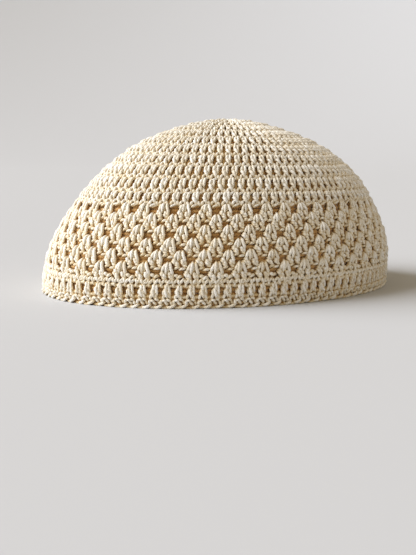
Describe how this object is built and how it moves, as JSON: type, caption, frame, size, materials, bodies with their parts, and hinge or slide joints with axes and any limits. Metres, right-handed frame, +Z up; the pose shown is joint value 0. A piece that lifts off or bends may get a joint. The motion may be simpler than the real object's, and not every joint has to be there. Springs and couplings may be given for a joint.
{
  "type": "crocheted kufi cap",
  "caption": "Close-fitting crocheted cotton skull cap: an open dome with a solid crown, lace rounds, an openwork brow band and a corded rim.",
  "frame": {"origin": "centre of the rim's outline, in the plane that the rim rests on", "axes": "+Z up through the crown, -Y to the front of the head, +X to the wearer's left"},
  "size_m": [0.1606, 0.2105, 0.0939],
  "materials": {
    "crown_cotton": "cream plied cotton yarn, solid crochet",
    "lace_cotton": "cream plied cotton yarn, open lace crochet",
    "brow_cotton": "cream plied cotton yarn, openwork crochet",
    "rim_cotton": "cream plied cotton yarn, slip-stitched edge"
  },
  "bodies": {
    "root": {"crown": "crown_cotton", "lace_band": "lace_cotton", "brow_band": "brow_cotton", "rim_edge": "rim_cotton"}
  },
  "joints": []
}
